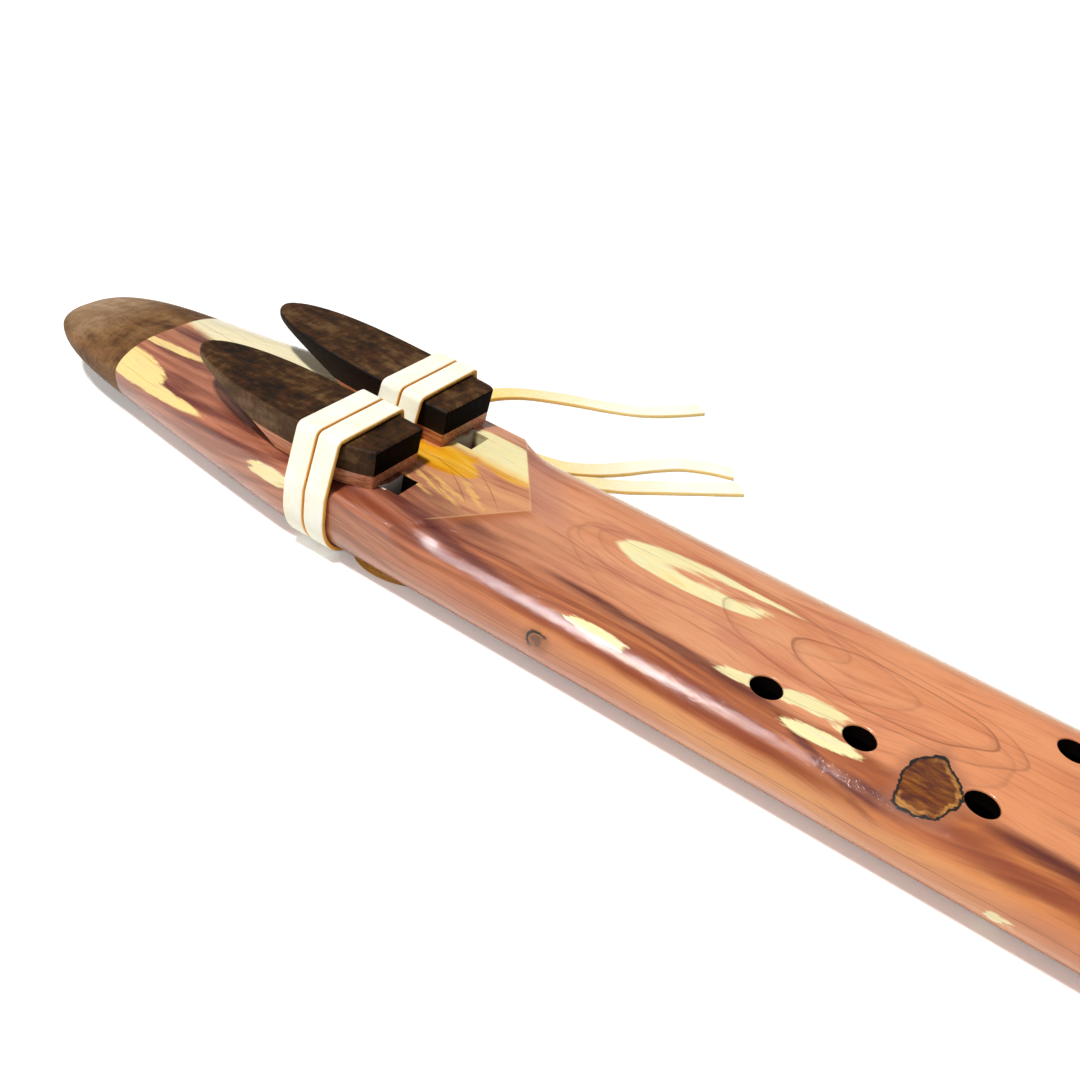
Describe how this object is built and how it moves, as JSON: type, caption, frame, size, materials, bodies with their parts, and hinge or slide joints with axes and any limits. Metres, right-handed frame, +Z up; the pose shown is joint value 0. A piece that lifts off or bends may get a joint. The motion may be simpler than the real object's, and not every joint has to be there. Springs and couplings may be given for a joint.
{
  "type": "double barrelled wooden flute",
  "caption": "Double barrelled cedar flute with a walnut mouthpiece and, on each barrel, a carved walnut block on a cedar spacer tied down with deerskin lace.",
  "frame": {"origin": "On the table under the middle of the flute, half way between its two barrels", "axes": "+X along the flute towards its foot, +Y to the player's left, +Z up"},
  "size_m": [0.4728, 0.1847, 0.0415],
  "materials": {
    "cedar": "gloss lacquer over streaked red cedar",
    "walnut": "matte, dark brown",
    "spacer_cedar": "satin lacquer",
    "deerskin": "soft and matt, pale cream"
  },
  "bodies": {
    "flute": {"body_upper_half": "cedar", "body_lower_half": "cedar", "mouthpiece": "walnut", "right_lace": "deerskin", "left_lace": "deerskin", "lace_knot": "deerskin", "right_tail": "deerskin", "left_tail": "deerskin", "knot_back_tail": "deerskin", "knot_front_tail": "deerskin"},
    "right_block": {"right_block": "walnut", "right_spacer": "spacer_cedar"},
    "left_block": {"left_block": "walnut", "left_spacer": "spacer_cedar"}
  },
  "joints": [
    {"name": "right_block_slide", "type": "slide", "parent": "flute", "child": "right_block", "axis": [1, 0, 0], "range_m": [-0.006, 0.003]},
    {"name": "left_block_slide", "type": "slide", "parent": "flute", "child": "left_block", "axis": [1, 0, 0], "range_m": [-0.006, 0.003]}
  ]
}
